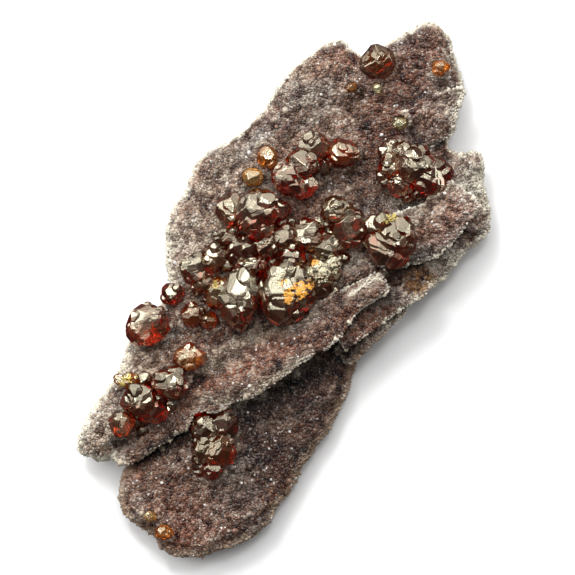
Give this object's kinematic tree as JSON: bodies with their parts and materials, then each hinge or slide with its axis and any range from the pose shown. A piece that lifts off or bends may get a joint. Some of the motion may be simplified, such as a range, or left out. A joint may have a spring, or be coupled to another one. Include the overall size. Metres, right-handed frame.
{
  "type": "sphalerite on quartz",
  "caption": "Mineral specimen: a thin ridged plate of drusy quartz that carries blocky, translucent sphalerite crystals.",
  "frame": {"origin": "middle of the plate's outline, on the surface that its broken back lies on", "axes": "+Z out of the crystal-bearing face, +Y along the plate's length towards the crown crystal, +X across it to the right as the face is looked at"},
  "size_m": [0.0756, 0.098, 0.017],
  "materials": {
    "quartz": "sugary crust of tiny clear and mauve-brown quartz points that glint one by one, cream at the broken rims",
    "sphalerite_red": "ruby to red-brown translucent crystal with bright adamantine faces",
    "sphalerite_orange": "orange translucent crystal with bright adamantine faces",
    "sphalerite_honey": "honey-yellow translucent crystal with bright adamantine faces",
    "sphalerite_brown": "brown to grey translucent crystal, dark red below, with silvery adamantine faces",
    "sphalerite_pale": "small crystal under a thin cream to greenish coat"
  },
  "bodies": {
    "root": {"quartz_matrix": "quartz", "sphalerite_crown": "sphalerite_red", "sphalerite_crown_orange": "sphalerite_orange", "sphalerite_crown_grain": "sphalerite_orange", "sphalerite_crown_pale": "sphalerite_pale", "sphalerite_step_pale": "sphalerite_pale", "sphalerite_shoulder_orange": "sphalerite_orange", "sphalerite_shoulder_honey": "sphalerite_honey", "sphalerite_upper_string": "sphalerite_red", "sphalerite_cluster": "sphalerite_brown", "sphalerite_string_end": "sphalerite_red", "sphalerite_edge_red": "sphalerite_red", "sphalerite_edge_grey": "sphalerite_brown", "sphalerite_ledge_group": "sphalerite_red", "sphalerite_ledge_large": "sphalerite_red", "sphalerite_slope_pale": "sphalerite_pale", "sphalerite_left_group": "sphalerite_brown", "sphalerite_lower_group": "sphalerite_brown", "sphalerite_foot_gold": "sphalerite_honey", "sphalerite_foot_orange": "sphalerite_orange"}
  },
  "joints": []
}
